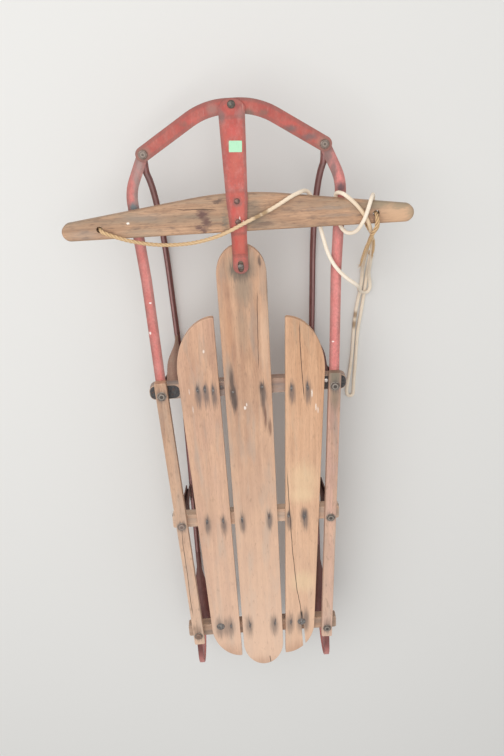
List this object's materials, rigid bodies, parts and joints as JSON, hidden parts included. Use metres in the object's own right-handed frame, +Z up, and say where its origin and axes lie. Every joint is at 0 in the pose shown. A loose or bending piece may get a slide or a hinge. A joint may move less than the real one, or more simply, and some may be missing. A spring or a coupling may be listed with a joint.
{
  "type": "steerable runner sled",
  "caption": "Wooden-decked sled on two steel runners whose noses are steered by a pivoted crossbar, with a tow rope.",
  "frame": {"origin": "on the floor, under the middle of the sled's length and width", "axes": "+X to the rider's right, +Y towards the steering bar in front, +Z up"},
  "size_m": [0.6, 1.278, 0.2047],
  "materials": {
    "ash_deck": "worn varnish over ash",
    "weathered_wood": "weathered bare wood",
    "steering_wood": "weathered bare wood",
    "red_steel": "faded red enamel, worn to steel at the edges",
    "knee_steel": "faded red enamel, rusty",
    "rusty_fasteners": "rusty steel",
    "cotton_rope": "braided cotton"
  },
  "bodies": {
    "frame": {"deck_slat_centre": "ash_deck", "deck_slat_left": "ash_deck", "deck_slat_right": "ash_deck", "cross_bench_front": "weathered_wood", "cross_bench_middle": "weathered_wood", "cross_bench_rear": "weathered_wood", "side_rail_left": "weathered_wood", "side_rail_right": "weathered_wood", "runner_left": "red_steel", "runner_right": "red_steel", "knee_front_left": "knee_steel", "knee_front_right": "knee_steel", "knee_middle_left": "knee_steel", "knee_middle_right": "knee_steel", "knee_rear_left": "knee_steel", "knee_rear_right": "knee_steel", "rail_bolts": "rusty_fasteners", "pivot_bolt": "rusty_fasteners", "front_bench_plates": "rusty_fasteners"},
    "link_left": {"side_strip_left": "red_steel", "runner_nose_left": "red_steel", "corner_rivet_left": "rusty_fasteners"},
    "link_right": {"side_strip_right": "red_steel", "runner_nose_right": "red_steel", "corner_rivet_right": "rusty_fasteners"},
    "bow": {"front_bow": "red_steel"},
    "steering": {"steering_crossbar": "steering_wood", "steering_strap": "red_steel", "crossbar_bolts": "rusty_fasteners", "apex_bolt": "rusty_fasteners", "tow_rope": "cotton_rope", "rope_knot_left": "cotton_rope", "rope_knot_tail": "cotton_rope"}
  },
  "joints": [
    {"name": "steer", "type": "hinge", "parent": "frame", "child": "steering", "pos_m": [0, 0.36, 0.168], "axis": [0, 0, 1], "range_deg": [-8, 8]},
    {"name": "nose_swing_left", "type": "hinge", "parent": "frame", "child": "link_left", "pos_m": [-0.139, 0.115, 0], "axis": [0, 0, 1], "range_deg": [-5, 5]},
    {"name": "nose_swing_right", "type": "hinge", "parent": "frame", "child": "link_right", "pos_m": [0.139, 0.115, 0], "axis": [0, 0, 1], "range_deg": [-5, 5]},
    {"name": "bow_turn", "type": "hinge", "parent": "link_left", "child": "bow", "pos_m": [-0.151, 0.559, 0.16], "axis": [0, 0, 1], "range_deg": [-5, 5]}
  ],
  "couplings": [
    {"joint": "nose_swing_left", "follows": "steer", "ratio": 0.5994},
    {"joint": "nose_swing_right", "follows": "steer", "ratio": 0.5994},
    {"joint": "bow_turn", "follows": "steer", "ratio": -0.5518}
  ]
}
